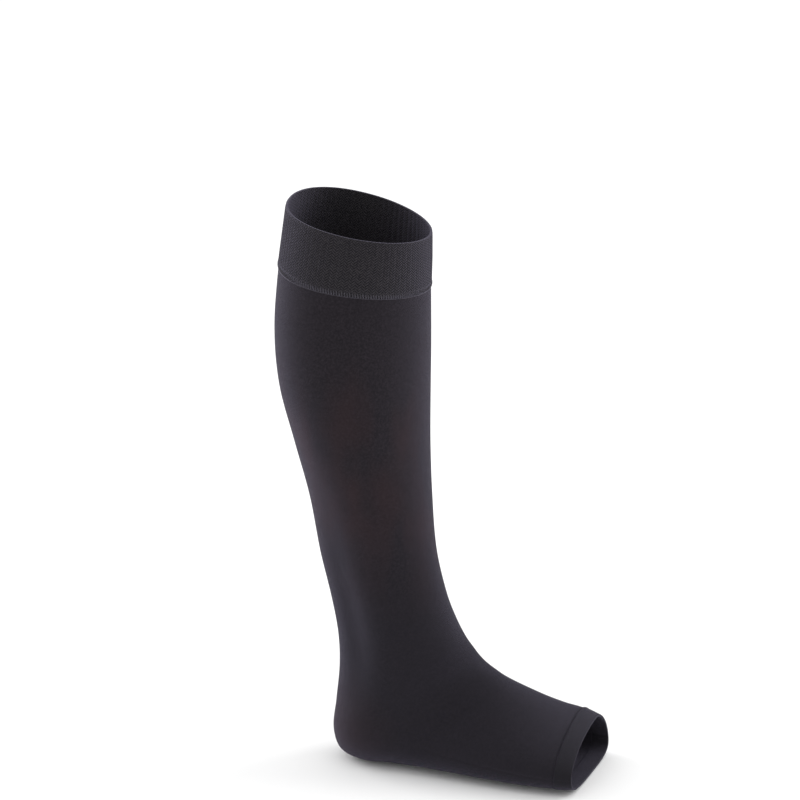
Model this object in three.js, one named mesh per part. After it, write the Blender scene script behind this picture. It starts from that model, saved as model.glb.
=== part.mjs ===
// Open-toe knee-high compression stocking for a right leg, hollow, in the shape it has when worn.
// Millimetres. +X points to the toes, +Y to the inner side of the leg, +Z up.
// The origin is the middle of the top band's hollow, where the calf holds the stocking up.
import * as THREE from 'three';

// ---------- driving sizes ----------
const KNIT_WALL = 1.0;      // circular-knitted leg and foot
const BAND_WALL = 1.8;      // elastic top band
const HEM_WALL = 2.0;       // toe hem, two layers of knit
const BAND_PROUD = 0.4;     // how far the band stands out past the leg knit
const HEM_PROUD = 0.5;      // how far the doubled hem stands out past the foot knit
const SEAM_GAP = 0.4;       // clearance between pieces that are sewn together, measured along the longer side
const HOLD = { x: 18, z: 392 };   // middle of the top band, measured from the heel and the sole

const RIM = 0, BAND_SEAM = 2, HEM_FOLD = 20, TOE_OPENING = 21;   // rows of SECTIONS

// One row per section of the tube, from the rim down the leg, round the heel and along the foot.
// A section is flat: it runs from a back (then sole) point to a front (then instep) point.
// x is measured from the back of the heel, z from the sole, y from the middle of the leg.
const COLUMNS = [
  'backX', 'backZ', 'frontX', 'frontZ',  // ends of the section, seen from the side
  'ridgeY',                              // where the front ridge lies
  'outer', 'inner',                      // half widths to the little-toe and big-toe sides
  'widest',                              // where the width is greatest, 0 at the back, 1 at the front
  'backRound', 'frontRound',             // 2 is an ellipse, more is squarer, less is sharper
  'skew',                                // forward shift per mm towards the inner side
  'hollow',                              // dip beside the heel tendon, as a share of the width
  'rings',                               // steps from this row to the next
];
const SECTIONS = [
  //  back          front        ridge  widths    widest  round       skew  hollow  rings
  [-33.0, 424.5,   70.5, 403.5,   0,   52, 53,   0.46,  2.25, 1.90,  0.00, 0.00,   3],  // 0 rim
  [-36.0, 402.0,   70.5, 384.5,   0,   53, 54,   0.45,  2.25, 1.90,  0.00, 0.00,   3],
  [-39.0, 378.5,   70.0, 363.5,   0,   54, 55,   0.44,  2.20, 1.90,  0.00, 0.00,   3],  // 2 band seam
  [-42.5, 331.0,   70.0, 323.0,   1,   54, 56,   0.43,  2.15, 1.90,  0.00, 0.00,   3],  // calf
  [-39.5, 289.0,   69.5, 285.0,   2,   52, 54,   0.43,  2.10, 1.90,  0.00, 0.00,   3],
  [-29.0, 246.0,   69.5, 245.0,   2,   47, 48,   0.45,  2.05, 1.90,  0.00, 0.00,   3],
  [-18.5, 204.0,   71.0, 205.0,   2,   40, 41,   0.47,  2.00, 1.90,  0.00, 0.03,   3],
  [-11.0, 159.0,   74.5, 163.0,   2,   33, 34,   0.49,  1.90, 1.90,  0.00, 0.08,   3],
  [ -3.0, 124.0,   82.0, 130.0,   2,   32, 32,   0.50,  1.85, 1.90,  0.00, 0.12,   2],  // ankle
  [  2.0,  96.0,   89.0, 110.0,   3,   33, 34,   0.48,  1.85, 1.95,  0.00, 0.12,   2],
  [  3.0,  71.0,   96.0,  96.0,   4,   34, 34,   0.44,  1.90, 1.95,  0.00, 0.08,   3],
  [  0.5,  43.0,  102.0,  87.5,   5,   34, 33,   0.42,  2.00, 1.95,  0.00, 0.03,   3],
  [ -1.5,  21.0,  106.5,  81.5,   6,   34, 32,   0.40,  2.10, 1.95,  0.00, 0.00,   3],  // heel
  [  4.0,   6.0,  111.0,  76.5,   7,   34, 32,   0.38,  2.20, 1.95,  0.01, 0.00,   3],
  [ 20.0,   0.0,  117.0,  71.5,   8,   34, 33,   0.36,  2.40, 1.95,  0.02, 0.00,   2],
  [ 42.0,   0.5,  124.5,  66.0,   9,   34, 34,   0.34,  2.60, 1.95,  0.03, 0.00,   2],
  [ 68.0,   1.0,  133.5,  60.5,  11,   38, 36,   0.32,  2.80, 1.95,  0.05, 0.00,   2],
  [ 96.0,   1.0,  144.0,  55.0,  13,   43, 38,   0.31,  3.00, 1.90,  0.07, 0.00,   2],
  [124.0,   0.5,  155.0,  49.5,  15,   47, 41,   0.31,  3.20, 1.85,  0.09, 0.00,   2],
  [152.0,   0.0,  166.0,  45.0,  17,   50, 43,   0.31,  3.30, 1.80,  0.11, 0.00,   2],
  [178.5,   0.0,  177.5,  41.5,  18,   51, 44,   0.31,  3.30, 1.80,  0.12, 0.00,   3],  // 20 hem fold
  [192.0,   0.5,  189.5,  36.5,  18,   50, 42,   0.33,  3.30, 1.80,  0.12, 0.00,   0],  // 21 opening
].map((row) => Object.fromEntries(COLUMNS.map((name, i) => [name, row[i]])));

const AROUND = 40;          // points round each section

// ---------- shape ----------
// How far along the tube each row lies: the longer of its back and front points' travel.
const travel = SECTIONS.reduce((list, row, i) => {
  if (i === 0) return [0];
  const last = SECTIONS[i - 1];
  const back = Math.hypot(row.backX - last.backX, row.backZ - last.backZ);
  const front = Math.hypot(row.frontX - last.frontX, row.frontZ - last.frontZ);
  return [...list, list[i - 1] + Math.max(back, front)];
}, []);

// Slope of a column at row i, from its neighbours.
function slope(name, i) {
  const a = Math.max(i - 1, 0), b = Math.min(i + 1, SECTIONS.length - 1);
  return (SECTIONS[b][name] - SECTIONS[a][name]) / (travel[b] - travel[a]);
}

// The section at a distance along the tube: a cubic through the rows, column by column.
function sectionAt(distance) {
  let i = travel.findIndex((end) => end > distance) - 1;
  if (i < 0) i = distance <= 0 ? 0 : SECTIONS.length - 2;
  const span = travel[i + 1] - travel[i];
  const t = (distance - travel[i]) / span;
  const section = {};
  for (const name of COLUMNS) {
    const from = SECTIONS[i][name], to = SECTIONS[i + 1][name];
    section[name] = from * (2 * t ** 3 - 3 * t ** 2 + 1) + to * (3 * t ** 2 - 2 * t ** 3)
      + span * slope(name, i) * (t ** 3 - 2 * t ** 2 + t) + span * slope(name, i + 1) * (t ** 3 - t ** 2);
  }
  return section;
}

// A point of the knit's outer face; angle 0 is the front, a quarter turn is the inner side.
function knitPoint(distance, angle) {
  const s = sectionAt(distance);
  const c = Math.cos(angle), d = Math.sin(angle);
  const front = c > 0;
  const power = 2 / (front ? s.frontRound : s.backRound);
  const reach = Math.abs(c) ** power, side = Math.abs(d) ** power;
  const along = s.widest + (front ? (1 - s.widest) * reach : -s.widest * reach);
  const ridge = front ? s.ridgeY : s.ridgeY * 0.3;
  const dip = 1 - s.hollow * Math.exp(-(((along - 0.2) / 0.13) ** 2));
  const y = ridge + ((d > 0 ? s.inner : -s.outer) - ridge) * side * dip;
  return new THREE.Vector3(
    s.backX + (s.frontX - s.backX) * along + s.skew * y - HOLD.x,
    y,
    s.backZ + (s.frontZ - s.backZ) * along - HOLD.z,
  );
}

// Outward direction of the knit at a point, from two short steps over its face.
function outward(distance, angle) {
  const step = 0.5, turn = 0.01;
  const down = knitPoint(distance + step, angle).sub(knitPoint(distance - step, angle));
  const round = knitPoint(distance, angle + turn).sub(knitPoint(distance, angle - turn));
  return round.cross(down).normalize().negate();
}

// Distances of the rings between two rows, each end moved in by its share of the seam gap.
function ringDistances(first, last, gapBefore, gapAfter) {
  const list = [];
  for (let i = first; i < last; i++) {
    const n = SECTIONS[i].rings;
    for (let k = 0; k < n; k++) list.push(travel[i] + (travel[i + 1] - travel[i]) * k / n);
  }
  list.push(travel[last] - gapAfter);
  list[0] += gapBefore;
  return list;
}

// A hollow wall through rings of points, outside the knit's face by `proud`.
function wall(distances, thickness, proud) {
  const points = [], faces = [];
  const rings = distances.length - 1;
  for (const depth of [proud, proud - thickness]) {
    for (const distance of distances) {
      for (let a = 0; a < AROUND; a++) {
        const angle = 2 * Math.PI * a / AROUND;
        points.push(...knitPoint(distance, angle).addScaledVector(outward(distance, angle), depth));
      }
    }
  }
  const at = (layer, ring, a) => (layer * (rings + 1) + ring) * AROUND + a % AROUND;
  const quad = (a, b, c, d) => faces.push(a, b, c, a, c, d);
  for (let a = 0; a < AROUND; a++) {
    for (let r = 0; r < rings; r++) {
      quad(at(0, r, a), at(0, r + 1, a), at(0, r + 1, a + 1), at(0, r, a + 1));
      quad(at(1, r, a), at(1, r, a + 1), at(1, r + 1, a + 1), at(1, r + 1, a));
    }
    quad(at(0, 0, a), at(0, 0, a + 1), at(1, 0, a + 1), at(1, 0, a));
    quad(at(0, rings, a), at(1, rings, a), at(1, rings, a + 1), at(0, rings, a + 1));
  }
  const geometry = new THREE.BufferGeometry();
  geometry.setAttribute('position', new THREE.Float32BufferAttribute(points, 3));
  geometry.setIndex(faces);
  geometry.computeVertexNormals();
  return geometry;
}

function piece(name, geometry, color, roughness) {
  const mesh = new THREE.Mesh(geometry, new THREE.MeshStandardMaterial({ color, roughness, metalness: 0 }));
  mesh.name = name;
  return mesh;
}

// ---------- the three pieces ----------
const stocking = new THREE.Group();
stocking.name = 'compression_stocking';
const half = SEAM_GAP / 2;
stocking.add(
  piece('top_band', wall(ringDistances(RIM, BAND_SEAM, 0, half), BAND_WALL, BAND_PROUD), 0x302d31, 0.9),
  piece('leg_and_foot', wall(ringDistances(BAND_SEAM, HEM_FOLD, half, half), KNIT_WALL, 0), 0x2d2a2e, 0.8),
  piece('toe_hem', wall(ringDistances(HEM_FOLD, TOE_OPENING, half, 0), HEM_WALL, HEM_PROUD), 0x2d2a2e, 0.8),
);

export default stocking;
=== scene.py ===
"""Open-toe knee-high compression stocking in the shape it has when worn.

A sheer-fine dark knit tube for leg and foot, an elastic relief-knit band sewn on at the top with a flat
overlock seam, and a doubled hem round the open toe. Lengths in the tables are millimetres, measured from
the back of the heel and the sole; everything placed in the scene is in metres in the part's own frame.
"""
import logging
import math
from dataclasses import dataclass, field
from enum import Enum

import bpy
import numpy as np
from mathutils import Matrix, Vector


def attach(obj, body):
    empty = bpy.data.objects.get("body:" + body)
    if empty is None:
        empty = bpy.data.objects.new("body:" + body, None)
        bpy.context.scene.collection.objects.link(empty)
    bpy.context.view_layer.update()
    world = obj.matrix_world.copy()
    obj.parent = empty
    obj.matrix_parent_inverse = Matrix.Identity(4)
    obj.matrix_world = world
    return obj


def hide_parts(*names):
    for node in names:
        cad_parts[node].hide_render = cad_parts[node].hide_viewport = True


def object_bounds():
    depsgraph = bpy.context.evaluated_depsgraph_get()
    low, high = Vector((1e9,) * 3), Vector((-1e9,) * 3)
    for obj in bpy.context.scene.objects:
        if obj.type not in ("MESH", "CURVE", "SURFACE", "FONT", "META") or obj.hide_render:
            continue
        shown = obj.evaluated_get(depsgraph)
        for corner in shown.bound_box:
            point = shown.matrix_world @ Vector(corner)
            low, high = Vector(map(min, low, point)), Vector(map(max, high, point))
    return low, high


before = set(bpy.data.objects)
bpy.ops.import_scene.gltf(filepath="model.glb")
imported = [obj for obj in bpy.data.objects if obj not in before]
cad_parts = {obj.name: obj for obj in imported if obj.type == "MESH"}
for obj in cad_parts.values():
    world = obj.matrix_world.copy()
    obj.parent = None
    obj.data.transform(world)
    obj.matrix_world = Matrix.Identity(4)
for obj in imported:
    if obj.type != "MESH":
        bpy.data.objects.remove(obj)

CAD_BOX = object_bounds()
MM = 0.001
TURN = 2.0 * math.pi
DOWN_STEP = 0.5  # millimetres each way along the tube, for its direction there
ROUND_STEP = 0.01  # radians each way round it
ARC_POINTS = 1441  # points round a section that is divided by arc length
GIRTH_POINTS = 721  # points round a section whose girth is measured
THREAD_STEPS = 7  # places along a short thread
THREAD_SIDES = 6  # points round any thread
Colour = tuple[float, float, float, float]
log = logging.getLogger("stocking")

COLUMNS = ("back_x", "back_z", "front_x", "front_z", "ridge_y", "outer", "inner", "widest",
           "back_round", "front_round", "skew", "hollow")
SECTIONS = np.array([
    #  back           front      ridge widths  widest  round       skew  hollow
    (-33.0, 424.5,  70.5, 403.5,   0,  52, 53,  0.46,  2.25, 1.90,  0.00, 0.00),  # 0 rim
    (-36.0, 402.0,  70.5, 384.5,   0,  53, 54,  0.45,  2.25, 1.90,  0.00, 0.00),
    (-39.0, 378.5,  70.0, 363.5,   0,  54, 55,  0.44,  2.20, 1.90,  0.00, 0.00),  # 2 band seam
    (-42.5, 331.0,  70.0, 323.0,   1,  54, 56,  0.43,  2.15, 1.90,  0.00, 0.00),  # calf
    (-39.5, 289.0,  69.5, 285.0,   2,  52, 54,  0.43,  2.10, 1.90,  0.00, 0.00),
    (-29.0, 246.0,  69.5, 245.0,   2,  47, 48,  0.45,  2.05, 1.90,  0.00, 0.00),
    (-18.5, 204.0,  71.0, 205.0,   2,  40, 41,  0.47,  2.00, 1.90,  0.00, 0.03),
    (-11.0, 159.0,  74.5, 163.0,   2,  33, 34,  0.49,  1.90, 1.90,  0.00, 0.08),
    ( -3.0, 124.0,  82.0, 130.0,   2,  32, 32,  0.50,  1.85, 1.90,  0.00, 0.12),  # ankle
    (  2.0,  96.0,  89.0, 110.0,   3,  33, 34,  0.48,  1.85, 1.95,  0.00, 0.12),
    (  3.0,  71.0,  96.0,  96.0,   4,  34, 34,  0.44,  1.90, 1.95,  0.00, 0.08),
    (  0.5,  43.0, 102.0,  87.5,   5,  34, 33,  0.42,  2.00, 1.95,  0.00, 0.03),
    ( -1.5,  21.0, 106.5,  81.5,   6,  34, 32,  0.40,  2.10, 1.95,  0.00, 0.00),  # heel
    (  4.0,   6.0, 111.0,  76.5,   7,  34, 32,  0.38,  2.20, 1.95,  0.01, 0.00),
    ( 20.0,   0.0, 117.0,  71.5,   8,  34, 33,  0.36,  2.40, 1.95,  0.02, 0.00),
    ( 42.0,   0.5, 124.5,  66.0,   9,  34, 34,  0.34,  2.60, 1.95,  0.03, 0.00),
    ( 68.0,   1.0, 133.5,  60.5,  11,  38, 36,  0.32,  2.80, 1.95,  0.05, 0.00),
    ( 96.0,   1.0, 144.0,  55.0,  13,  43, 38,  0.31,  3.00, 1.90,  0.07, 0.00),
    (124.0,   0.5, 155.0,  49.5,  15,  47, 41,  0.31,  3.20, 1.85,  0.09, 0.00),
    (152.0,   0.0, 166.0,  45.0,  17,  50, 43,  0.31,  3.30, 1.80,  0.11, 0.00),
    (178.5,   0.0, 177.5,  41.5,  18,  51, 44,  0.31,  3.30, 1.80,  0.12, 0.00),  # 20 hem fold
    (192.0,   0.5, 189.5,  36.5,  18,  50, 42,  0.33,  3.30, 1.80,  0.12, 0.00),  # 21 opening
])


class Row(Enum):
    """Rows of SECTIONS where a piece begins or ends."""

    RIM = 0
    BAND_SEAM = 2
    GORE = 16
    HEM_FOLD = 20
    TOE_OPENING = 21


@dataclass(frozen=True)
class KnitForm:
    """The outer face of the knit, as a smooth tube through the rows of a section table.

    Attributes:
        rows: one row per section, columns as in COLUMNS, millimetres.
        hold_x: middle of the top band's hollow along X, from the back of the heel.
        hold_z: the same along Z, from the sole.
        back_ridge: share of a section's sideways shift that its back point has.
        tendon_place: how far forward the dip beside the heel tendon is deepest, as a share of the section.
        tendon_width: how far it fades, likewise.
    """

    rows: np.ndarray = field(default_factory=lambda: SECTIONS)
    hold_x: float = 18.0
    hold_z: float = 392.0
    back_ridge: float = 0.3
    tendon_place: float = 0.2
    tendon_width: float = 0.13

    def travel(self) -> np.ndarray:
        """Distance of each row along the tube: the longer of its back and front points' steps, added up."""
        step = np.diff(self.rows, axis=0)
        back, front = np.hypot(step[:, 0], step[:, 1]), np.hypot(step[:, 2], step[:, 3])
        return np.concatenate([[0.0], np.cumsum(np.maximum(back, front))])

    def at(self, row: Row) -> float:
        """Distance in millimetres along the tube of a named row."""
        return float(self.travel()[row.value])

    def columns(self, distance: np.ndarray) -> dict[str, np.ndarray]:
        """Section columns at distances along the tube.

        A Hermite cubic runs through the rows, its slope at each row the difference of the row's
        neighbours over their distance.

        Args:
            distance: millimetres along the tube, any shape.

        Returns:
            One array per column, of that shape.
        """
        along = self.travel()
        last = len(along) - 1
        before, after = np.maximum(np.arange(last + 1) - 1, 0), np.minimum(np.arange(last + 1) + 1, last)
        slope = (self.rows[after] - self.rows[before]) / (along[after] - along[before])[:, None]
        i = np.clip(np.searchsorted(along, distance, side="right") - 1, 0, last - 1)
        span = (along[i + 1] - along[i])[..., None]
        t = (np.asarray(distance, float) - along[i])[..., None] / span
        value = (self.rows[i] * (2 * t**3 - 3 * t**2 + 1) + self.rows[i + 1] * (3 * t**2 - 2 * t**3)
                 + span * slope[i] * (t**3 - 2 * t**2 + t) + span * slope[i + 1] * (t**3 - t**2))
        return {name: value[..., k] for k, name in enumerate(COLUMNS)}

    def point(self, distance: np.ndarray, angle: np.ndarray) -> np.ndarray:
        """Points of the knit's outer face.

        Each quarter of a section is a superellipse between its back or front point and its widest
        place; angle 0 is the front and a quarter turn the inner side. The dip beside the heel tendon
        narrows the section by a bell curve.

        Args:
            distance: millimetres along the tube.
            angle: radians round the section.

        Returns:
            Points in metres in the part's frame, with a last axis of 3.
        """
        distance, angle = np.broadcast_arrays(np.asarray(distance, float), np.asarray(angle, float))
        s = self.columns(distance)
        c, d = np.cos(angle), np.sin(angle)
        front = c > 0
        power = 2.0 / np.where(front, s["front_round"], s["back_round"])
        reach, side = np.abs(c) ** power, np.abs(d) ** power
        along = s["widest"] + np.where(front, (1 - s["widest"]) * reach, -s["widest"] * reach)
        ridge = s["ridge_y"] * np.where(front, 1.0, self.back_ridge)
        dip = 1 - s["hollow"] * np.exp(-(((along - self.tendon_place) / self.tendon_width) ** 2))
        y = ridge + (np.where(d > 0, s["inner"], -s["outer"]) - ridge) * side * dip
        x = s["back_x"] + (s["front_x"] - s["back_x"]) * along + s["skew"] * y - self.hold_x
        z = s["back_z"] + (s["front_z"] - s["back_z"]) * along - self.hold_z
        return np.stack([x, y, z], axis=-1) * MM

    def outward(self, distance: np.ndarray, angle: np.ndarray) -> np.ndarray:
        """Unit directions out of the knit's face: the cross product of a step down and a step round."""
        down = self.point(distance + DOWN_STEP, angle) - self.point(distance - DOWN_STEP, angle)
        turn = self.point(distance, angle + ROUND_STEP) - self.point(distance, angle - ROUND_STEP)
        out = np.cross(down, turn)
        return out / np.linalg.norm(out, axis=-1, keepdims=True)

    def place(self, distance: np.ndarray, angle: np.ndarray, height: np.ndarray) -> np.ndarray:
        """Points at a height in millimetres above the knit's face, along its outward direction."""
        distance, angle, height = np.broadcast_arrays(
            np.asarray(distance, float), np.asarray(angle, float), np.asarray(height, float))
        return self.point(distance, angle) + self.outward(distance, angle) * height[..., None] * MM

    def even_angles(self, distance: float, count: int) -> np.ndarray:
        """Angles that lie evenly spaced by arc length round the section at a distance.

        Args:
            distance: millimetres along the tube.
            count: how many angles.

        Returns:
            The angles in radians, the first at the front.
        """
        fine = np.linspace(0.0, TURN, ARC_POINTS)
        ring = self.point(np.full_like(fine, distance), fine)
        arc = np.concatenate([[0.0], np.cumsum(np.linalg.norm(np.diff(ring, axis=0), axis=1))])
        return np.interp(np.arange(count) / count * arc[-1], arc, fine)

    def girth(self, distance: float) -> float:
        """Length in metres round the knit at a distance along the tube."""
        ring = self.point(np.full(GIRTH_POINTS, distance), np.linspace(0.0, TURN, GIRTH_POINTS))
        return float(np.linalg.norm(np.diff(ring, axis=0), axis=1).sum())


def grid_faces(rings: int, around: int, closed: bool) -> np.ndarray:
    """Quads of a grid that closes round its second axis, and round its first too if closed.

    Args:
        rings: points along the first axis.
        around: points along the second axis.
        closed: whether the last ring joins the first.

    Returns:
        Vertex numbers, four to a face, facing out of the outer layer.
    """
    i, j = np.meshgrid(np.arange(rings if closed else rings - 1), np.arange(around), indexing="ij")
    n, m = (i + 1) % rings, (j + 1) % around
    return np.stack([i * around + j, n * around + j, n * around + m, i * around + m], axis=-1).reshape(-1, 4)


def new_object(name: str, points: np.ndarray, faces: list | np.ndarray) -> bpy.types.Object:
    """Makes a smooth-shaded mesh object at the origin and links it to the scene.

    Args:
        name: the piece's name.
        points: vertex places, with a last axis of 3.
        faces: vertex numbers of each face.

    Returns:
        The new object.
    """
    mesh = bpy.data.meshes.new(name)
    corners = faces.tolist() if isinstance(faces, np.ndarray) else faces
    mesh.from_pydata(points.reshape(-1, 3).tolist(), [], corners)
    mesh.polygons.foreach_set("use_smooth", np.ones(len(mesh.polygons), dtype=bool))
    mesh.update()
    piece = bpy.data.objects.new(name, mesh)
    bpy.context.scene.collection.objects.link(piece)
    return piece


@dataclass(frozen=True)
class Wall:
    """A sheet of knit with a thickness: two faces and two rounded edges, one closed surface.

    Attributes:
        start: distance in millimetres where the wall's cut edge begins.
        end: distance where it ends.
        thickness: millimetres.
        proud: height of its outer face above the knit form.
        outer_rings: rings on the outer face.
        inner_rings: rings on the inner face.
        edge: how far its rounded edges reach along the tube, in millimetres.
        around: points round each ring.
        bend_points: places round each edge, its two ends among them.
        squareness: power of the sine and cosine round an edge; less is squarer.
    """

    start: float
    end: float
    thickness: float
    proud: float
    outer_rings: int
    inner_rings: int
    edge: float = 0.35
    around: int = 216
    bend_points: int = 9
    squareness: float = 0.6

    def profile(self) -> tuple[np.ndarray, np.ndarray]:
        """The wall's outline along the tube, as distances and heights.

        Straight down the outer face, round the lower edge, back up the inner face and round the upper
        edge. Each edge is a superellipse, half the thickness by the edge's reach.

        Returns:
            Distances and heights in millimetres, one pair for each ring.
        """
        r = self.thickness / 2
        top, bottom = self.start + self.edge, self.end - self.edge
        bend = np.linspace(0, math.pi, self.bend_points)[1:-1]
        out = self.edge * np.sin(bend) ** self.squareness
        turn = r * np.sign(np.cos(bend)) * np.abs(np.cos(bend)) ** self.squareness
        down, up = np.linspace(top, bottom, self.outer_rings), np.linspace(bottom, top, self.inner_rings)
        middle = self.proud - r
        distance = np.concatenate([down, bottom + out, up, top - out])
        height = np.concatenate([np.full_like(down, self.proud), middle + turn,
                                 np.full_like(up, self.proud - self.thickness), middle - turn])
        return distance, height

    def build(self, name: str, form: KnitForm, lift: np.ndarray | None = None) -> bpy.types.Object:
        """Makes the wall on a form, with a UV map of turns round and metres along.

        Args:
            name: the piece's name.
            form: the shape that it lies on.
            lift: extra height in millimetres of each ring and point, or None.

        Returns:
            The wall as an object.
        """
        distance, height = self.profile()
        angle = np.arange(self.around) / self.around * TURN
        heights = np.broadcast_to(height[:, None], (len(height), self.around))
        if lift is not None:
            heights = heights + lift
        points = form.place(distance[:, None], angle[None, :], heights)
        rings = len(distance)
        piece = new_object(name, points, grid_faces(rings, self.around, True))
        i, j = np.meshgrid(np.arange(rings), np.arange(self.around), indexing="ij")
        n = (i + 1) % rings
        u = np.stack([j, j, j + 1, j + 1], axis=-1) / self.around
        v = np.stack([distance[i], distance[n], distance[n], distance[i]], axis=-1) * MM
        layer = piece.data.uv_layers.new(name="knit")
        layer.data.foreach_set("uv", np.stack([u, v], axis=-1).ravel().astype(np.float32))
        return piece


def threads(form: KnitForm, distance: np.ndarray, angle: np.ndarray, height: np.ndarray,
            radius: np.ndarray, sides: int) -> tuple[np.ndarray, list]:
    """Many short threads that lie on the knit, as capped tubes.

    Each thread follows its row of places. Round each place stands a circle of the radius, in the plane
    of the outward direction and the direction square to it and to the thread.

    Args:
        form: the shape that the threads lie on.
        distance: millimetres along the tube, a row per thread and a column per step.
        angle: radians round the section, likewise.
        height: millimetres above the knit's face, likewise.
        radius: thread radius in millimetres at each step.
        sides: points round each thread.

    Returns:
        The points and the faces, caps included.
    """
    centre = form.place(distance, angle, height)
    out = form.outward(distance, angle)
    run = np.gradient(centre, axis=1)
    across = np.cross(run, out)
    across /= np.linalg.norm(across, axis=-1, keepdims=True)
    phi = np.arange(sides) / sides * TURN
    ring = (np.cos(phi)[:, None] * out[:, :, None, :] + np.sin(phi)[:, None] * across[:, :, None, :])
    points = centre[:, :, None, :] + ring * (radius * MM)[None, :, None, None]
    count, steps = distance.shape
    one = grid_faces(steps, sides, False)
    faces = (one[None] + (np.arange(count) * steps * sides)[:, None, None]).reshape(-1, 4)[:, ::-1].tolist()
    first = np.arange(sides)[None, :] + (np.arange(count) * steps * sides)[:, None]
    faces += first[:, ::-1].tolist() + (first + (steps - 1) * sides).tolist()
    return points.reshape(-1, 3), faces


def thread_taper(t: np.ndarray, power: int = 6, least: float = 0.08) -> np.ndarray:
    """Share of a thread's radius along it: the root of one less a power of the distance from its middle.

    Args:
        t: place along the thread, from 0 to 1.
        power: how late the thread narrows.
        least: the least that is under the root.

    Returns:
        Shares from nearly 0 to 1.
    """
    return np.sqrt(np.clip(1.0 - (2 * t - 1) ** power, least, 1.0))


class Nodes:
    """A short way to write a material's nodes."""

    def __init__(self, name: str) -> None:
        """Starts an empty material with its Principled shader and output."""
        self.material = bpy.data.materials.new(name)
        self.material.use_nodes = True
        self.tree = self.material.node_tree
        self.tree.nodes.clear()
        self.output = self.tree.nodes.new("ShaderNodeOutputMaterial")
        self.shader = self.tree.nodes.new("ShaderNodeBsdfPrincipled")
        self.tree.links.new(self.shader.outputs["BSDF"], self.output.inputs["Surface"])

    def math(self, operation: str, *values: object, clamp: bool = False) -> bpy.types.NodeSocket:
        """A Math node over sockets or numbers, and its result."""
        node = self.tree.nodes.new("ShaderNodeMath")
        node.operation, node.use_clamp = operation, clamp
        for socket, value in zip(node.inputs, values):
            self.feed(socket, value)
        return node.outputs[0]

    def feed(self, socket: bpy.types.NodeSocket, value: object) -> None:
        """Links a socket into another, or writes a number or colour on it."""
        if isinstance(value, bpy.types.NodeSocket):
            self.tree.links.new(value, socket)
        else:
            socket.default_value = value

    def node(self, kind: str, **inputs: object) -> bpy.types.Node:
        """A node of a kind, with inputs given by name, spaces written as underscores."""
        node = self.tree.nodes.new(kind)
        for name, value in inputs.items():
            self.feed(node.inputs[name.replace("_", " ")], value)
        return node

    def turns_and_metres(self) -> tuple[bpy.types.NodeSocket, bpy.types.NodeSocket]:
        """The knit's own coordinates: turns round the tube and metres along it."""
        uv = self.tree.nodes.new("ShaderNodeUVMap")
        uv.uv_map = "knit"
        split = self.node("ShaderNodeSeparateXYZ", Vector=uv.outputs[0])
        return split.outputs["X"], split.outputs["Y"]

    def object_place(self) -> bpy.types.NodeSocket:
        """The piece's Object coordinates."""
        return self.tree.nodes.new("ShaderNodeTexCoord").outputs["Object"]

    def noise(self, scale: float, detail: float, vector: bpy.types.NodeSocket,
              roughness: float = 0.6) -> bpy.types.NodeSocket:
        """A noise pattern's value, about one half on average."""
        return self.node("ShaderNodeTexNoise", Scale=scale, Detail=detail, Roughness=roughness,
                         Vector=vector).outputs[0]

    def blend(self, share: object, low: object, high: object) -> bpy.types.NodeSocket:
        """A colour that goes from low to high as share goes from 0 to 1."""
        node = self.tree.nodes.new("ShaderNodeMix")
        node.data_type = "RGBA"
        self.feed(node.inputs[0], share)
        self.feed(node.inputs[6], low)
        self.feed(node.inputs[7], high)
        return node.outputs[2]


def rgb(red: float, green: float, blue: float) -> Colour:
    """A linear colour with its alpha."""
    return (red, green, blue, 1.0)


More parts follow.
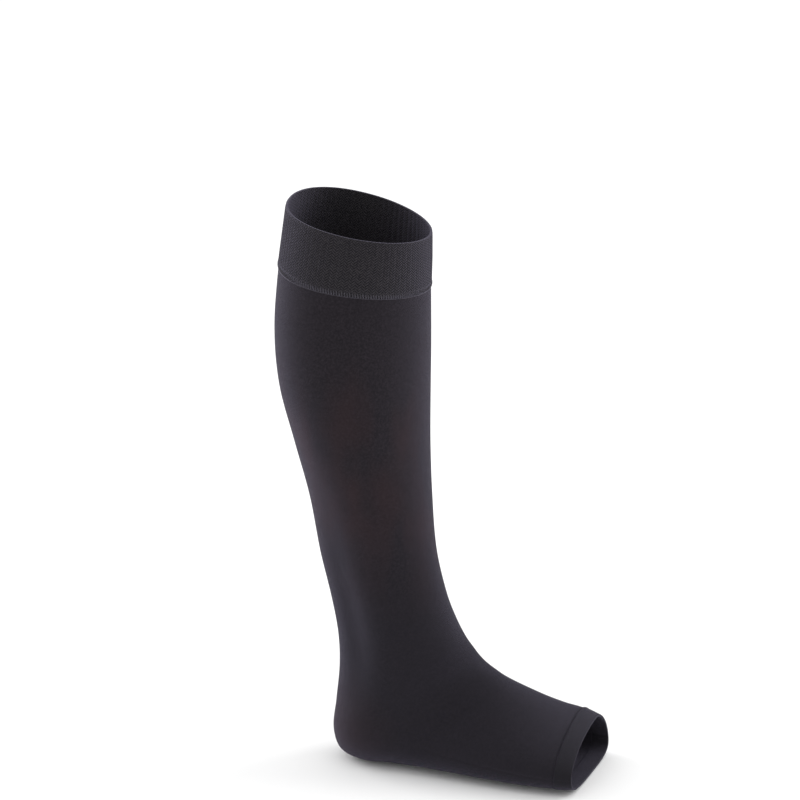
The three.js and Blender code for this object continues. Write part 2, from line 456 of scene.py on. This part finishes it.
@dataclass(frozen=True)
class KnitFinish:
    """What every knit of the stocking shares: dark dyed yarn with a soft sheen.

    Attributes:
        name: material name.
        dark: linear colour of the dye's darker flecks, and of the painted shade in the knit's hollows.
        light: linear colour of the dye's lighter flecks, and of the painted light on its raised loops.
        warm: linear colour that tints soft patches on the leg and the heel.
        warmth: share of the warm tint at most.
        cool: linear colour that tints the foot.
        roughness: of the yarn.
        specular: level of its plain shine.
        sheen: weight of the sheen.
        sheen_roughness: its roughness.
        sheen_tint: its colour.
        bump: depth of the relief in millimetres.
        mottling: how much fine uneven dye changes the colour.
        relief_shading: how much the relief changes the colour, as painted shade in its hollows and painted
            light on its loops.
        shade: what is added to both, so that they lie about the middle.
        foot_top: height in metres under which the knit is the foot's.
        calf_top: height over which the leg's warm patches have faded out.
        heel: middle of the warm patch at the heel, in metres.
        heel_reach: how far that patch fades, in metres.
        mottle_scale: fineness of the uneven dye.
        patch_scale: fineness of the warm patches.
        patch_stretch: scale of the patches' pattern up the leg; under 1 makes them tall.
        patch_gain: how sharply the patches stand out.
        patch_cut: what is taken off them, so that most of the leg has none.
        foot_fade: how fast the foot's tint gives way to the leg's, for each metre of height.
        calf_fade: how fast the patches fade under the band, for each metre of height.
        cool_share: share of the foot's tint at most.
        seam_shade: linear colour of seams that are knitted in.
        seam_depth: how far such a seam lies below the loops, in heights of a loop.
    """

    name: str
    dark: Colour = rgb(0.0092, 0.0076, 0.0094)
    light: Colour = rgb(0.0258, 0.0208, 0.0256)
    warm: Colour = rgb(0.0330, 0.0165, 0.0170)
    warmth: float = 0.48
    cool: Colour = rgb(0.0135, 0.0128, 0.0172)
    roughness: float = 0.8
    specular: float = 0.10
    sheen: float = 0.17
    sheen_roughness: float = 0.45
    sheen_tint: Colour = rgb(0.76, 0.70, 1.0)
    bump: float = 0.14
    mottling: float = 1.8
    relief_shading: float = 0.6
    shade: float = -0.78
    foot_top: float = -0.28
    calf_top: float = -0.055
    heel: tuple[float, float, float] = (-0.010, -0.010, -0.365)
    heel_reach: float = 0.055
    mottle_scale: float = 700.0
    patch_scale: float = 24.0
    patch_stretch: float = 0.35
    patch_gain: float = 5.0
    patch_cut: float = 2.2
    foot_fade: float = 12.0
    calf_fade: float = 16.0
    cool_share: float = 0.5
    seam_shade: Colour = rgb(0.004, 0.0035, 0.0045)
    seam_depth: float = 3.0

    def relief(self, nodes: Nodes) -> bpy.types.NodeSocket:
        """Height of the loops, 0 in the hollows and 1 on top. Each kind of knit gives its own."""
        raise NotImplementedError

    def extra_shade(self, nodes: Nodes) -> bpy.types.NodeSocket | None:
        """Where a seam is knitted in, from 0 to 1, or None where the knit has none."""
        return None

    def yarn(self, nodes: Nodes, place: bpy.types.NodeSocket,
             height: bpy.types.NodeSocket) -> bpy.types.NodeSocket:
        """Colour of the dyed yarn with painted shade: from dark to light by a fine noise of uneven dye, and
        by the relief, darker in its hollows and lighter on its loops.
        """
        mottle = nodes.noise(self.mottle_scale, 2.0, place)
        # Painted shade: the relief term darkens the knit's hollows and lightens its loops; the noise term is
        # the dye's uneven tone.
        share = nodes.math("MULTIPLY_ADD", mottle, self.mottling,
                           nodes.math("MULTIPLY_ADD", height, self.relief_shading, self.shade))
        share = nodes.math("MINIMUM", nodes.math("MAXIMUM", share, 0.0), 1.0)
        return nodes.blend(share, self.dark, self.light)

    def tinted(self, nodes: Nodes, place: bpy.types.NodeSocket,
               yarn: bpy.types.NodeSocket) -> bpy.types.NodeSocket:
        """The yarn's colour, painted relief shade included, with the warm patches on leg and heel and the
        cool tint on the foot.

        Args:
            nodes: the material that the nodes go in.
            place: Object coordinates.
            yarn: the yarn's colour, with painted shade in the knit's hollows and painted light on its loops.

        Returns:
            The tinted colour's socket.
        """
        tall = nodes.node("ShaderNodeVectorMath", Vector=place)
        tall.operation = "MULTIPLY"
        tall.inputs[1].default_value = (1.0, 1.0, self.patch_stretch)
        patches = nodes.noise(self.patch_scale, 2.0, tall.outputs[0])
        level = nodes.node("ShaderNodeSeparateXYZ", Vector=place).outputs["Z"]
        over_foot = nodes.math("SUBTRACT", level, self.foot_top)
        leg = nodes.math("MULTIPLY", over_foot, self.foot_fade, clamp=True)
        under_calf_top = nodes.math("SUBTRACT", self.calf_top, level)
        calf = nodes.math("MULTIPLY", under_calf_top, self.calf_fade, clamp=True)
        from_heel = nodes.node("ShaderNodeVectorMath", Vector=place)
        from_heel.operation = "DISTANCE"
        from_heel.inputs[1].default_value = self.heel
        heel = nodes.math("MULTIPLY_ADD", from_heel.outputs["Value"], -1.0 / self.heel_reach, 1.0, clamp=True)
        spots = nodes.math("MULTIPLY_ADD", patches, self.patch_gain, -self.patch_cut, clamp=True)
        spots = nodes.math("MULTIPLY", spots, nodes.math("MULTIPLY", leg, calf))
        warm = nodes.math("MULTIPLY", nodes.math("MAXIMUM", spots, heel), self.warmth)
        foot = nodes.math("SUBTRACT", 1.0, nodes.math("MAXIMUM", leg, heel))
        cool = nodes.math("MULTIPLY", foot, self.cool_share)
        return nodes.blend(cool, nodes.blend(warm, yarn, self.warm), self.cool)

    def build(self) -> bpy.types.Material:
        """Makes the material: relief into bump and into colour as painted shade and light, soft patches, and
        sheen on the shader itself.
        """
        nodes = Nodes(self.name)
        shader = nodes.shader
        shader.inputs["Roughness"].default_value = self.roughness
        shader.inputs["Specular IOR Level"].default_value = self.specular
        shader.inputs["Sheen Weight"].default_value = self.sheen
        shader.inputs["Sheen Roughness"].default_value = self.sheen_roughness
        shader.inputs["Sheen Tint"].default_value = self.sheen_tint
        place = nodes.object_place()
        height = self.relief(nodes)
        colour = self.tinted(nodes, place, self.yarn(nodes, place, height))
        seam = self.extra_shade(nodes)
        if seam is not None:
            colour = nodes.blend(seam, colour, self.seam_shade)
            height = nodes.math("SUBTRACT", height, nodes.math("MULTIPLY", seam, self.seam_depth))
        nodes.feed(shader.inputs["Base Color"], colour)
        bump = nodes.node("ShaderNodeBump", Strength=1.0, Distance=self.bump * MM, Height=height)
        nodes.feed(shader.inputs["Normal"], bump.outputs[0])
        return nodes.material


@dataclass(frozen=True)
class JerseyFinish(KnitFinish):
    """Fine plain knit: columns of small V loops.

    Attributes:
        wales: loop columns round the tube.
        course: height of a loop in millimetres.
        gore: turn round the tube, from the front, where the heel's short rows meet.
        gore_from: metres along the tube where that line starts.
        gore_to: metres along the tube where it ends.
        gore_lean: turns that the line moves round for each metre along the tube.
        gore_width: half its width, in turns.
        gore_fade: how fast its ends fade in, for each metre.
        gore_outside: its strength on the outer side.
        gore_inside: how much stronger it is on the inner side.
        bow: courses that a loop's middle runs ahead of its sides.
        swing: how far a loop rises and falls about its middle height.
    """

    wales: int = 460
    course: float = 0.62
    gore: float = 0.215
    gore_from: float = 0.0
    gore_to: float = 0.0
    gore_lean: float = 0.35
    gore_width: float = 0.0034
    gore_fade: float = 80.0
    gore_outside: float = 0.06
    gore_inside: float = 0.42
    bow: float = 0.6
    swing: float = 0.45

    def relief(self, nodes: Nodes) -> bpy.types.NodeSocket:
        """Height of V loops.

        With m the distance from the middle of a loop column, 0 to 1, and v the courses along the tube,
        it is one less m squared, times a half plus the swing times the sine of a turn of v less bow times m.

        Args:
            nodes: the material that the nodes go in.

        Returns:
            The height's socket.
        """
        turn, metre = nodes.turns_and_metres()
        column = nodes.math("FRACT", nodes.math("MULTIPLY", turn, float(self.wales)))
        m = nodes.math("ABSOLUTE", nodes.math("MULTIPLY_ADD", column, 2.0, -1.0))
        v = nodes.math("MULTIPLY", metre, 1.0 / (self.course * MM))
        phase = nodes.math("MULTIPLY", nodes.math("MULTIPLY_ADD", m, -self.bow, v), TURN)
        wave = nodes.math("MULTIPLY_ADD", nodes.math("SINE", phase), self.swing, 0.5)
        crown = nodes.math("MULTIPLY_ADD", nodes.math("MULTIPLY", m, m), -1.0, 1.0)
        return nodes.math("MULTIPLY", wave, crown)

    def extra_shade(self, nodes: Nodes) -> bpy.types.NodeSocket | None:
        """The heel's gore line: a thin band at one turn value, strong inside and faint outside."""
        if self.gore_to <= self.gore_from:
            return None
        turn, metre = nodes.turns_and_metres()
        side = nodes.math("SUBTRACT", 0.5, nodes.math("ABSOLUTE", nodes.math("SUBTRACT", turn, 0.5)))
        bend = nodes.math("MULTIPLY", nodes.math("SUBTRACT", metre, self.gore_from), self.gore_lean)
        near = nodes.math("ABSOLUTE", nodes.math("SUBTRACT", nodes.math("ADD", side, bend), self.gore))
        line = nodes.math("MULTIPLY_ADD", near, -1.0 / self.gore_width, 1.0, clamp=True)
        past_start = nodes.math("SUBTRACT", metre, self.gore_from)
        begin = nodes.math("MULTIPLY", past_start, self.gore_fade, clamp=True)
        before_end = nodes.math("SUBTRACT", self.gore_to, metre)
        end = nodes.math("MULTIPLY", before_end, self.gore_fade, clamp=True)
        inner_side = nodes.math("LESS_THAN", turn, 0.5)
        strength = nodes.math("MULTIPLY_ADD", inner_side, self.gore_inside, self.gore_outside)
        length = nodes.math("MULTIPLY", begin, end)
        return nodes.math("MULTIPLY", nodes.math("MULTIPLY", line, length), strength)


@dataclass(frozen=True)
class HerringboneFinish(KnitFinish):
    """Relief knit of the elastic band: columns of short strokes that slant left and right in turn.

    Attributes:
        columns: stroke columns round the band, an even number.
        stroke: distance between strokes down a column, in millimetres.
        slant: how many strokes a stroke climbs across its column.
        valley: how much lower the strokes lie at their column's sides.
        flatness: power by which they fall off to there.
    """

    columns: int = 152
    stroke: float = 2.2
    slant: float = 1.05
    valley: float = 0.45
    flatness: int = 4

    def height(self, turn: np.ndarray, distance: np.ndarray) -> np.ndarray:
        """Height of the strokes as numbers, by the same rule as relief.

        Args:
            turn: turns round the band.
            distance: millimetres along it.

        Returns:
            Heights from 0 to 1.
        """
        column = np.floor(turn * self.columns + 1e-6)
        c = turn * self.columns - column
        odd = np.mod(column, 2)
        v = distance / self.stroke + 0.5 * odd + (1 - 2 * odd) * self.slant * c
        return (0.5 + 0.5 * np.sin(v * TURN)) * (1 - self.valley * np.abs(2 * c - 1) ** self.flatness)

    def relief(self, nodes: Nodes) -> bpy.types.NodeSocket:
        """Height of the strokes.

        In column k, with c the place across it, 0 to 1, and s plus or minus one for even and odd k, it is
        a half plus half the sine of a turn of strokes along plus s times slant times c, odd columns half a
        stroke further on. It is full at the column's middle and low at its sides.

        Args:
            nodes: the material that the nodes go in.

        Returns:
            The height's socket.
        """
        turn, metre = nodes.turns_and_metres()
        place = nodes.math("MULTIPLY", turn, float(self.columns))
        c = nodes.math("FRACT", place)
        odd = nodes.math("MODULO", nodes.math("FLOOR", place), 2.0)
        s = nodes.math("MULTIPLY_ADD", odd, -2.0, 1.0)
        climb = nodes.math("MULTIPLY", nodes.math("MULTIPLY", s, self.slant), c)
        v = nodes.math("MULTIPLY_ADD", metre, 1.0 / (self.stroke * MM),
                       nodes.math("MULTIPLY_ADD", odd, 0.5, climb))
        wave = nodes.math("MULTIPLY_ADD", nodes.math("SINE", nodes.math("MULTIPLY", v, TURN)), 0.5, 0.5)
        m = nodes.math("ABSOLUTE", nodes.math("MULTIPLY_ADD", c, 2.0, -1.0))
        crown = nodes.math("MULTIPLY_ADD", nodes.math("POWER", m, float(self.flatness)), -self.valley, 1.0)
        return nodes.math("MULTIPLY", wave, crown)


@dataclass(frozen=True)
class ThreadFinish(KnitFinish):
    """Sewing thread: a fine uneven twist, and a little more shine than the knit.

    Attributes:
        twist: fineness of the twist.
    """

    roughness: float = 0.5
    bump: float = 0.05
    twist: float = 2600.0

    def relief(self, nodes: Nodes) -> bpy.types.NodeSocket:
        """Twist of the thread, as fine noise."""
        return nodes.noise(self.twist, 1.0, nodes.object_place())


def dress(piece: bpy.types.Object, material: bpy.types.Material) -> None:
    """Gives a piece its material, lets it ride on the stocking's one body, and logs its face count.

    Args:
        piece: the object.
        material: its finish.
    """
    piece.data.materials.append(material)
    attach(piece, "root")
    log.info("%s: %d faces", piece.name, len(piece.data.polygons))


@dataclass(frozen=True)
class SeamLine:
    """A line of looper thread: its place past the seam, its lift and its radius, in millimetres."""

    offset: float
    lift: float
    radius: float


@dataclass
class TopBand:
    """The elastic top band with the flat overlock seam that joins it to the leg.

    Attributes:
        form: the shape that it lies on.
        thickness: of the band, in millimetres.
        proud: how far it stands out past the leg knit.
        stitch_pitch: distance between seam stitches round the leg.
        relief: height of the knitted strokes, in millimetres.
        relaxed: width and height in metres of the band's strip before it is stretched and sewn; not used.
        seam_draw: how far the seam draws the band's edge in, in millimetres.
        rim_draw: how far the rim turns in.
        stitch_rise: how high a seam stitch arches.
        stitch_radius: radius of its thread.
        stitch_sway: how unevenly the stitches lie.
        lines: the two lines that bound the seam.
    """

    form: KnitForm
    thickness: float = 1.8
    proud: float = 0.4
    stitch_pitch: float = 1.9
    relief: float = 0.26
    relaxed: tuple[float, float] = (0.270, 0.046)
    seam_draw: float = 0.34
    rim_draw: float = 0.15
    stitch_rise: float = 0.36
    stitch_radius: float = 0.42
    stitch_sway: float = 0.2
    lines: tuple[SeamLine, SeamLine] = (SeamLine(-4.5, 0.14, 0.28), SeamLine(0.15, 0.02, 0.30))

    def stitch_count(self) -> int:
        """How many seam stitches fit round the band."""
        return int(self.form.girth(self.form.at(Row.BAND_SEAM)) / (self.stitch_pitch * MM))

    def mesh(self, knit: HerringboneFinish) -> bpy.types.Object:
        """The band's wall, with its strokes raised on the outer face and drawn in at the seam.

        Over the last 5.5 mm a power curve draws it in, and a bell curve turns the rim in. The strokes
        fade in below the rim and fade out 4.2 mm above the seam.

        Args:
            knit: the finish that gives the strokes' places.

        Returns:
            The wall as an object.
        """
        seam = self.form.at(Row.BAND_SEAM)
        wall = Wall(start=0.0, end=seam, thickness=self.thickness, proud=self.proud,
                    outer_rings=98, inner_rings=16, around=4 * knit.columns)
        distance, height = wall.profile()
        at_seam = np.clip((distance - seam + 5.5) / 4.5, 0, 1) ** 1.5
        at_rim = np.exp(-((distance / 1.5) ** 2))
        draw_in = -self.seam_draw * at_seam - self.rim_draw * at_rim
        fade = np.clip((distance - 0.6) / 1.2, 0, 1) * np.clip((seam - 4.2 - distance) / 1.0, 0, 1)
        outer = fade * (height > self.proud - 0.01)
        turn = np.arange(wall.around) / wall.around
        strokes = knit.height(turn[None, :], distance[:, None]) - 0.6
        lift = draw_in[:, None] + self.relief * outer[:, None] * strokes
        return wall.build("top_band_knit", self.form, lift)

    def stitches(self) -> bpy.types.Object:
        """The seam's slanted ladder stitches, each a thread that arches over the join.

        A stitch runs 3.5 mm down and ends 0.2 mm above the seam. Its rise is a sine to the power 0.7, on
        a slope that falls 0.16 mm, and the sway is the sine of a golden angle more at each stitch.
        """
        seam = self.form.at(Row.BAND_SEAM)
        count = self.stitch_count()
        start = self.form.even_angles(seam, count)
        t = np.linspace(0.0, 1.0, THREAD_STEPS)
        golden_angle = 2.399
        sway = np.sin(np.arange(count) * golden_angle)[:, None]
        distance = seam - 3.7 + self.stitch_sway * sway + (3.5 - self.stitch_sway * sway) * t[None, :]
        angle = start[:, None] + (0.011 + 0.002 * sway) * t[None, :]
        rise = 0.16 - 0.16 * t + self.stitch_rise * np.sin(math.pi * t) ** 0.7
        height = np.broadcast_to(rise, angle.shape)
        radius = self.stitch_radius * thread_taper(t)
        points, faces = threads(self.form, distance, angle, height, radius, THREAD_SIDES)
        return new_object("band_seam_stitches", points, faces)

    def cords(self) -> bpy.types.Object:
        """Two lines of looper thread that bound the seam, swelling once at each stitch."""
        seam = self.form.at(Row.BAND_SEAM)
        steps = 4  # places for each stitch
        around = self.stitch_count() * steps
        angle = self.form.even_angles(seam, around)
        beat = 0.5 + 0.5 * np.cos(np.arange(around) / steps * TURN)
        phi = np.arange(THREAD_SIDES) / THREAD_SIDES * TURN
        points, faces = [], []
        for number, line in enumerate(self.lines):
            radius = line.radius * (0.72 + 0.28 * beat)
            distance = seam + line.offset + radius[:, None] * np.sin(phi)[None, :]
            height = line.lift + radius[:, None] * np.cos(phi)[None, :]
            points.append(self.form.place(distance, angle[:, None], height).reshape(-1, 3))
            faces.append(grid_faces(around, THREAD_SIDES, True)[:, ::-1] + number * around * THREAD_SIDES)
        return new_object("band_seam_lines", np.concatenate(points), np.concatenate(faces))

    def build(self) -> None:
        """Makes and dresses the band and its seam."""
        # The band's colour is darkened between the strokes and lightened on them as painted shade and painted
        # light, beside the dye's uneven flecks.
        finish = HerringboneFinish("relief_knit", dark=rgb(0.0040, 0.0038, 0.0040),
                                 light=rgb(0.0330, 0.0304, 0.0312), roughness=0.9, sheen=0.23,
                                 sheen_roughness=0.5, bump=0.30, mottling=1.7, relief_shading=0.9, shade=-0.82)
        band, stitches, lines = self.mesh(finish), self.stitches(), self.cords()
        thread = ThreadFinish("seam_thread", dark=rgb(0.030, 0.028, 0.031), light=rgb(0.060, 0.056, 0.062),
                              warmth=0.0, sheen=0.38, sheen_roughness=0.5).build()
        dress(band, finish.build())
        dress(stitches, thread)
        dress(lines, thread)
        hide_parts("top_band")


@dataclass
class LegAndFoot:
    """The circular-knitted leg and foot, with the heel's gore lines.

    Attributes:
        form: the shape that it lies on.
        thickness: of the knit, in millimetres.
        relaxed: width round the calf and length in metres of the tube before it is stretched; not used.
        relaxed_area: its area in square metres, less than the rectangle's because it tapers; not used.
        tuck: how far its ends run into the band and the hem, in millimetres.
        fold_dip: how deep it dips just before the hem's fold.
        gore_back: how far before the heel's row the gore line starts.
        gore_on: how far past that row it ends.
    """

    form: KnitForm
    thickness: float = 1.0
    relaxed: tuple[float, float] = (0.262, 0.470)
    relaxed_area: float = 0.092
    tuck: float = 1.0
    fold_dip: float = 0.42
    gore_back: float = 18.0
    gore_on: float = 28.0

    def mesh(self) -> bpy.types.Object:
        """The tube's wall from inside the band's lower edge round the heel to inside the hem.

        Just before the hem's fold it dips by a bell curve, deepest over the instep.
        """
        fold = self.form.at(Row.HEM_FOLD)
        wall = Wall(start=self.form.at(Row.BAND_SEAM) - self.tuck, end=fold + self.tuck,
                    thickness=self.thickness, proud=0.0, outer_rings=240, inner_rings=90)
        distance, _ = wall.profile()
        angle = np.arange(wall.around) / wall.around * TURN
        over = 0.35 + 0.65 * np.clip(np.cos(angle), 0, 1)
        dip = -self.fold_dip * np.exp(-(((distance - fold + 0.3) / 1.1) ** 2))
        return wall.build("leg_and_foot_knit", self.form, dip[:, None] * over[None, :])

    def build(self) -> None:
        """Makes and dresses the tube."""
        tube = self.mesh()
        gore = self.form.at(Row.GORE)
        knit = JerseyFinish("fine_knit", gore_from=(gore - self.gore_back) * MM,
                            gore_to=(gore + self.gore_on) * MM).build()
        dress(tube, knit)
        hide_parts("leg_and_foot")


@dataclass
class ToeHem:
    """The doubled hem round the open toe, with its stitched line.

    Attributes:
        form: the shape that it lies on.
        thickness: of the two layers together, in millimetres.
        proud: how far it stands out past the foot knit.
        stitch_pitch: distance between hem stitches round the foot.
        relaxed: width and height in metres of the hem's outer layer before it is stretched; not used.
        swell: how far it swells between its stitched line and its folded edge, in millimetres.
        lip: how far it stands up over the toes, just past the stitched line.
        stitch_share: how much of the pitch a stitch fills.
        stitch_radius: radius of its thread.
    """

    form: KnitForm
    thickness: float = 2.0
    proud: float = 0.5
    stitch_pitch: float = 2.2
    relaxed: tuple[float, float] = (0.178, 0.0125)
    swell: float = 0.15
    lip: float = 0.45
    stitch_share: float = 0.86
    stitch_radius: float = 0.2

    def mesh(self) -> bpy.types.Object:
        """The hem's wall, swelling between its stitched line and its folded edge and most over the toes."""
        fold, opening = self.form.at(Row.HEM_FOLD), self.form.at(Row.TOE_OPENING)
        wall = Wall(start=fold + 0.1, end=opening, thickness=self.thickness, proud=self.proud,
                    outer_rings=34, inner_rings=20, edge=0.7)
        distance, height = wall.profile()
        angle = np.arange(wall.around) / wall.around * TURN
        over = np.clip(np.cos(angle), 0, 1) ** 2
        across = np.clip((distance - fold) / (opening - fold), 0, 1)
        swell = self.swell * np.sin(math.pi * across) * (height > 0)
        lip = self.lip * np.exp(-(((distance - fold - 1.4) / 1.5) ** 2)) * (height > 0)
        return wall.build("toe_hem_knit", self.form, swell[:, None] + lip[:, None] * over[None, :])

    def stitches(self) -> bpy.types.Object:
        """Short threads along the hem's fold, end to end, dipping into the knit between them."""
        line = self.form.at(Row.HEM_FOLD) - 0.9
        count = int(self.form.girth(line) / (self.stitch_pitch * MM))
        start = self.form.even_angles(line, count)
        step = np.diff(np.concatenate([start, [TURN]]))
        t = np.linspace(0.0, 1.0, THREAD_STEPS)
        angle = start[:, None] + step[:, None] * self.stitch_share * t[None, :]
        distance = np.full_like(angle, line) + 0.12 * t[None, :]
        height = np.broadcast_to(-0.12 + 0.24 * np.sin(math.pi * t), angle.shape)
        radius = self.stitch_radius * thread_taper(t)
        points, faces = threads(self.form, distance, angle, height, radius, THREAD_SIDES)
        return new_object("toe_hem_stitches", points, faces)

    def build(self) -> None:
        """Makes and dresses the hem."""
        hem, stitches = self.mesh(), self.stitches()
        # The hem's colour also carries painted shade in its loops' hollows and painted light on the loops.
        knit = JerseyFinish("hem_knit", wales=420, course=0.7, dark=rgb(0.0092, 0.0082, 0.0088),
                            light=rgb(0.0172, 0.0152, 0.0162), warmth=0.1).build()
        thread = ThreadFinish("hem_thread", dark=rgb(0.008, 0.007, 0.008), light=rgb(0.018, 0.016, 0.018),
                              warmth=0.0).build()
        dress(hem, knit)
        dress(stitches, thread)
        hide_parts("toe_hem")


@dataclass
class Studio:
    """Pale floor, white surroundings, soft lights and the camera.

    Attributes:
        azimuth: degrees that the camera stands round towards the toes from square to the outer side.
        elevation: degrees that it looks down.
        distance: metres from the camera to what it looks at.
        aim: the point in the middle of the view, in metres.
        width: metres that the view spans there.
        floor_gap: metres from the sole to the floor.
        floor_reach: metres that the floor reaches each way.
        sensor: width of the camera's sensor, in millimetres.
    """

    azimuth: float = 12.0
    elevation: float = 19.0
    distance: float = 4.0
    aim: tuple[float, float, float] = (0.030, 0.0, -0.1145)
    width: float = 0.576
    floor_gap: float = 0.0004
    floor_reach: float = 6.0
    sensor: float = 36.0

    def camera(self) -> None:
        """A long lens whose field of view spans the width at the distance of the aim."""
        a, e = math.radians(self.azimuth), math.radians(self.elevation)
        back = Vector((math.sin(a) * math.cos(e), -math.cos(a) * math.cos(e), math.sin(e)))
        data = bpy.data.cameras.new("camera")
        data.sensor_width = self.sensor
        data.lens = data.sensor_width * self.distance / self.width
        data.clip_end = 100.0
        camera = bpy.data.objects.new("camera", data)
        camera.location = Vector(self.aim) + back * self.distance
        camera.rotation_euler = back.to_track_quat("Z", "Y").to_euler()
        bpy.context.scene.collection.objects.link(camera)
        bpy.context.scene.camera = camera

    def floor(self) -> None:
        """A wide flat sheet just under the sole."""
        z = float(CAD_BOX[0][2]) - self.floor_gap
        r = self.floor_reach
        corner = np.array([(-r, -r, z), (r, -r, z), (r, r, z), (-r, r, z)])
        floor = new_object("floor", corner, [(0, 1, 2, 3)])
        nodes = Nodes("pale_floor")
        nodes.shader.inputs["Base Color"].default_value = rgb(0.93, 0.93, 0.93)
        nodes.shader.inputs["Roughness"].default_value = 0.9
        floor.data.materials.append(nodes.material)

    def lamp(self, name: str, place: tuple[float, float, float], size: float, power: float) -> None:
        """A square soft light that faces the middle of the view.

        Args:
            name: the light's name.
            place: where it stands, in metres.
            size: its side in metres.
            power: watts.
        """
        data = bpy.data.lights.new(name, "AREA")
        data.size, data.energy = size, power
        lamp = bpy.data.objects.new(name, data)
        lamp.location = place
        lamp.rotation_euler = (Vector(place) - Vector(self.aim)).to_track_quat("Z", "Y").to_euler()
        bpy.context.scene.collection.objects.link(lamp)

    def build(self) -> None:
        """Sets the surroundings, the lights, the floor and the camera."""
        world = bpy.data.worlds.new("studio")
        world.use_nodes = True
        background = world.node_tree.nodes["Background"]
        background.inputs["Color"].default_value = rgb(1.0, 1.0, 1.0)
        background.inputs["Strength"].default_value = 1.0
        bpy.context.scene.world = world
        bpy.context.scene.view_settings.view_transform = "Standard"
        self.lamp("light_left", place=(-1.7, 0.5, 0.5), size=1.2, power=14.0)
        self.lamp("light_right", place=(1.7, 0.9, 0.6), size=1.2, power=18.0)
        self.lamp("light_front", place=(-0.6, -1.8, 1.1), size=1.4, power=2.0)
        self.floor()
        self.camera()


def main() -> None:
    """Builds the stocking's pieces and the studio in order."""
    logging.basicConfig(level=logging.INFO, format="%(name)s: %(message)s")
    form = KnitForm()
    LegAndFoot(form).build()
    TopBand(form).build()
    ToeHem(form).build()
    Studio().build()


if __name__ == "__main__":
    main()
